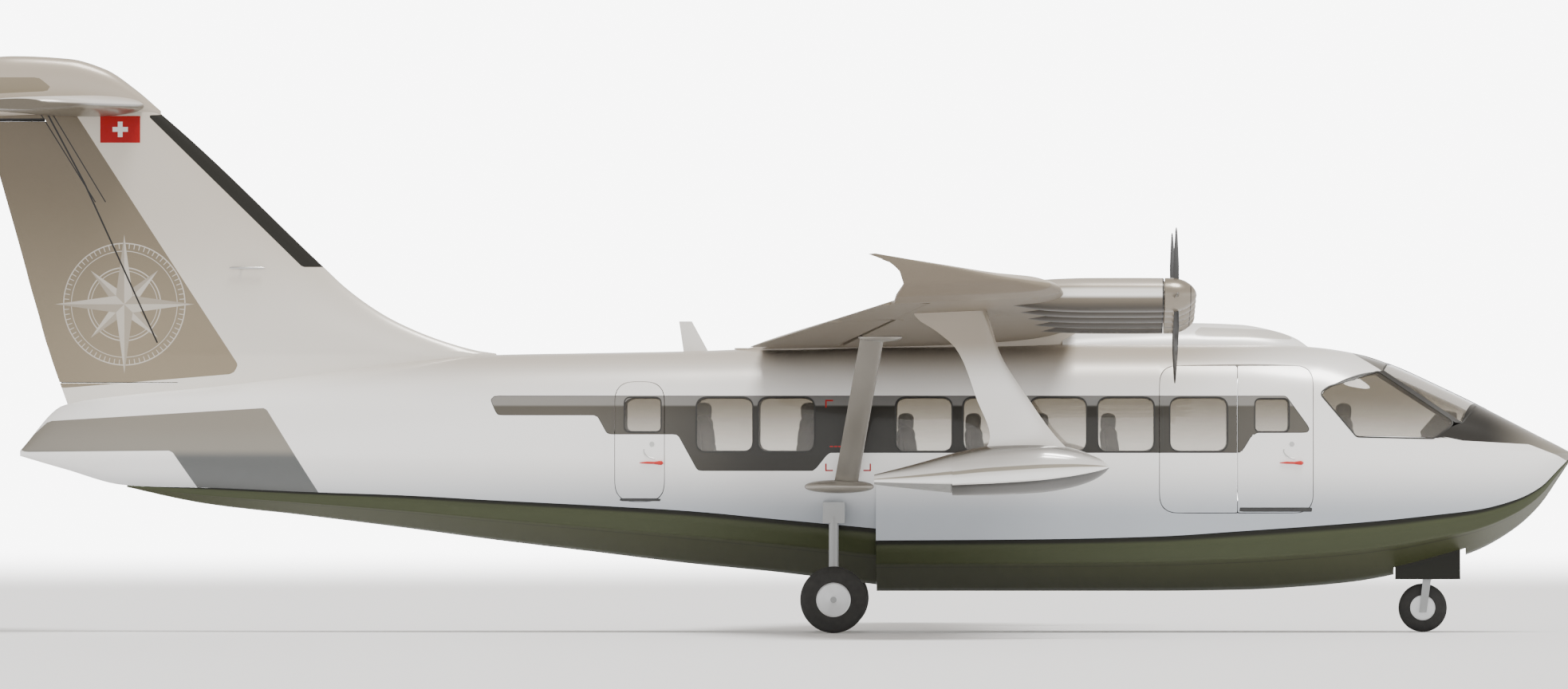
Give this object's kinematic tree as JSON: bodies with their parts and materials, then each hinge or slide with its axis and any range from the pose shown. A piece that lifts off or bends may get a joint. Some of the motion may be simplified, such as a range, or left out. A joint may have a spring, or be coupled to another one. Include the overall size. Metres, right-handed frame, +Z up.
{
  "type": "flying boat",
  "caption": "High-wing amphibious flying boat with a row of electric propellers on each wing, a T-tail, wing floats, hinged doors and a wheeled undercarriage.",
  "frame": {"origin": "on the ground, under the middle of the bounding box", "axes": "+X forward to the nose, +Y to the port wing tip, +Z up"},
  "size_m": [17.762, 21.9876, 6.307],
  "materials": {
    "body_paint": "pearl white gloss paint on composite",
    "hull_paint": "dark olive gloss paint on composite",
    "rudder_paint": "tan gloss paint on composite",
    "float_silver": "silver grey gloss paint on composite",
    "propeller_black": "black satin composite",
    "glazing": "clear, smooth",
    "seat_cloth": "dark woven cloth",
    "cabin_trim": "matt grey trim",
    "battery_case": "dull grey case",
    "gear_metal": "satin grey metal",
    "tyre_rubber": "matt black rubber"
  },
  "bodies": {
    "airframe": {"fuselage_shell": "body_paint", "tail_cone": "body_paint", "planing_bottom_forward": "hull_paint", "planing_bottom_aft": "hull_paint", "roof_fairing": "body_paint", "blade_aerial": "body_paint", "cabin_windows_left": "glazing", "cabin_windows_right": "glazing", "cockpit_glazing": "glazing", "cabin_floor": "cabin_trim", "battery_pack": "battery_case", "cabin_seats_left": "seat_cloth", "cabin_seats_right": "seat_cloth", "crew_seats": "seat_cloth", "instrument_panel": "cabin_trim", "wing_centre_section": "body_paint", "wing_left": "body_paint", "wing_right": "body_paint", "lift_strut_left": "body_paint", "lift_strut_right": "body_paint", "float_pylon_left": "body_paint", "float_pylon_right": "body_paint", "wing_float_left": "float_silver", "wing_float_right": "float_silver", "fin": "body_paint", "tailplane": "body_paint", "nose_leg": "gear_metal", "main_leg_left": "gear_metal", "main_leg_right": "gear_metal"},
    "crew_door_left": {"crew_door_left": "body_paint", "crew_door_window_left": "glazing"},
    "crew_door_right": {"crew_door_right": "body_paint", "crew_door_window_right": "glazing"},
    "cargo_door_right": {"cargo_door_right": "body_paint", "cargo_door_window_right": "glazing"},
    "rear_door_left": {"rear_door_left": "body_paint", "rear_door_window_left": "glazing"},
    "rear_door_right": {"rear_door_right": "body_paint", "rear_door_window_right": "glazing"},
    "flap_left": {"flap_left": "body_paint"},
    "flap_right": {"flap_right": "body_paint"},
    "aileron_left": {"aileron_left": "body_paint"},
    "aileron_right": {"aileron_right": "body_paint"},
    "rudder": {"rudder": "rudder_paint"},
    "elevator_left": {"elevator_left": "body_paint"},
    "elevator_right": {"elevator_right": "body_paint"},
    "propeller_left_1": {"propeller_left_1": "propeller_black"},
    "propeller_left_2": {"propeller_left_2": "propeller_black"},
    "propeller_left_3": {"propeller_left_3": "propeller_black"},
    "propeller_left_4": {"propeller_left_4": "propeller_black"},
    "propeller_left_5": {"propeller_left_5": "propeller_black"},
    "propeller_right_1": {"propeller_right_1": "propeller_black"},
    "propeller_right_2": {"propeller_right_2": "propeller_black"},
    "propeller_right_3": {"propeller_right_3": "propeller_black"},
    "propeller_right_4": {"propeller_right_4": "propeller_black"},
    "propeller_right_5": {"propeller_right_5": "propeller_black"},
    "nose_fork": {"nose_fork": "gear_metal"},
    "nose_wheel": {"nose_wheel": "tyre_rubber"},
    "main_wheel_left": {"main_wheel_left": "tyre_rubber"},
    "main_wheel_right": {"main_wheel_right": "tyre_rubber"}
  },
  "joints": [
    {"name": "crew_door_left_hinge", "type": "hinge", "parent": "airframe", "child": "crew_door_left", "pos_m": [5.2175, 1.112, 2.1], "axis": [0, 0, 1], "range_deg": [0, 90]},
    {"name": "crew_door_right_hinge", "type": "hinge", "parent": "airframe", "child": "crew_door_right", "pos_m": [5.2175, -1.112, 2.1], "axis": [0, 0, -1], "range_deg": [0, 90]},
    {"name": "cargo_door_right_hinge", "type": "hinge", "parent": "airframe", "child": "cargo_door_right", "pos_m": [4.361, -1.112, 2.1], "axis": [0, 0, -1], "range_deg": [0, 80]},
    {"name": "rear_door_left_hinge", "type": "hinge", "parent": "airframe", "child": "rear_door_left", "pos_m": [-1.598, 1.0205, 2.1], "axis": [0, 0, 1], "range_deg": [0, 100]},
    {"name": "rear_door_right_hinge", "type": "hinge", "parent": "airframe", "child": "rear_door_right", "pos_m": [-1.598, -1.0205, 2.1], "axis": [0, 0, -1], "range_deg": [0, 100]},
    {"name": "flap_left_hinge", "type": "hinge", "parent": "airframe", "child": "flap_left", "pos_m": [0.8176, 1.35, 3.2854], "axis": [-0.1205, -0.9918, -0.0426], "range_deg": [0, 35]},
    {"name": "flap_right_hinge", "type": "hinge", "parent": "airframe", "child": "flap_right", "pos_m": [0.8176, -1.35, 3.2854], "axis": [0.1205, -0.9918, 0.0426], "range_deg": [0, 35]},
    {"name": "aileron_left_hinge", "type": "hinge", "parent": "airframe", "child": "aileron_left", "pos_m": [1.4675, 6.7, 3.5154], "axis": [0.1205, 0.9918, 0.0426], "range_deg": [-20, 20]},
    {"name": "aileron_right_hinge", "type": "hinge", "parent": "airframe", "child": "aileron_right", "pos_m": [1.4675, -6.7, 3.5154], "axis": [-0.1205, 0.9918, -0.0426], "range_deg": [-20, 20]},
    {"name": "rudder_hinge", "type": "hinge", "parent": "airframe", "child": "rudder", "pos_m": [-6.501, 0, 2.95], "axis": [-0.4512, 0, 0.8924], "range_deg": [-25, 25]},
    {"name": "elevator_left_hinge", "type": "hinge", "parent": "airframe", "child": "elevator_left", "pos_m": [-8.33, 1, 5.77], "axis": [0, 1, 0], "range_deg": [-18, 25]},
    {"name": "elevator_right_hinge", "type": "hinge", "parent": "airframe", "child": "elevator_right", "pos_m": [-8.33, -1, 5.77], "axis": [0, 1, 0], "range_deg": [-18, 25]},
    {"name": "propeller_left_1_spin", "type": "hinge", "parent": "airframe", "child": "propeller_left_1", "pos_m": [4.524, 2.3, 3.456], "axis": [1, 0, 0], "continuous": true},
    {"name": "propeller_left_2_spin", "type": "hinge", "parent": "airframe", "child": "propeller_left_2", "pos_m": [4.524, 3.9, 3.5128], "axis": [1, 0, 0], "continuous": true},
    {"name": "propeller_left_3_spin", "type": "hinge", "parent": "airframe", "child": "propeller_left_3", "pos_m": [4.524, 5.5, 3.5696], "axis": [1, 0, 0], "continuous": true},
    {"name": "propeller_left_4_spin", "type": "hinge", "parent": "airframe", "child": "propeller_left_4", "pos_m": [4.524, 7.1, 3.6264], "axis": [1, 0, 0], "continuous": true},
    {"name": "propeller_left_5_spin", "type": "hinge", "parent": "airframe", "child": "propeller_left_5", "pos_m": [4.524, 8.7, 3.6832], "axis": [1, 0, 0], "continuous": true},
    {"name": "propeller_right_1_spin", "type": "hinge", "parent": "airframe", "child": "propeller_right_1", "pos_m": [4.524, -2.3, 3.456], "axis": [1, 0, 0], "continuous": true},
    {"name": "propeller_right_2_spin", "type": "hinge", "parent": "airframe", "child": "propeller_right_2", "pos_m": [4.524, -3.9, 3.5128], "axis": [1, 0, 0], "continuous": true},
    {"name": "propeller_right_3_spin", "type": "hinge", "parent": "airframe", "child": "propeller_right_3", "pos_m": [4.524, -5.5, 3.5696], "axis": [1, 0, 0], "continuous": true},
    {"name": "propeller_right_4_spin", "type": "hinge", "parent": "airframe", "child": "propeller_right_4", "pos_m": [4.524, -7.1, 3.6264], "axis": [1, 0, 0], "continuous": true},
    {"name": "propeller_right_5_spin", "type": "hinge", "parent": "airframe", "child": "propeller_right_5", "pos_m": [4.524, -8.7, 3.6832], "axis": [1, 0, 0], "continuous": true},
    {"name": "nose_steering", "type": "hinge", "parent": "airframe", "child": "nose_fork", "pos_m": [7.3, 0, 0.65], "axis": [0, 0, 1], "range_deg": [-38, 38]},
    {"name": "nose_wheel_spin", "type": "hinge", "parent": "nose_fork", "child": "nose_wheel", "pos_m": [7.25, 0, 0.26668], "axis": [0, 1, 0], "continuous": true},
    {"name": "main_wheel_left_spin", "type": "hinge", "parent": "airframe", "child": "main_wheel_left", "pos_m": [0.8, 1.48, 0.36544], "axis": [0, 1, 0], "continuous": true},
    {"name": "main_wheel_right_spin", "type": "hinge", "parent": "airframe", "child": "main_wheel_right", "pos_m": [0.8, -1.48, 0.36544], "axis": [0, 1, 0], "continuous": true}
  ],
  "couplings": [
    {"joint": "flap_right_hinge", "follows": "flap_left_hinge", "ratio": 1},
    {"joint": "aileron_right_hinge", "follows": "aileron_left_hinge", "ratio": -1},
    {"joint": "elevator_right_hinge", "follows": "elevator_left_hinge", "ratio": 1}
  ]
}
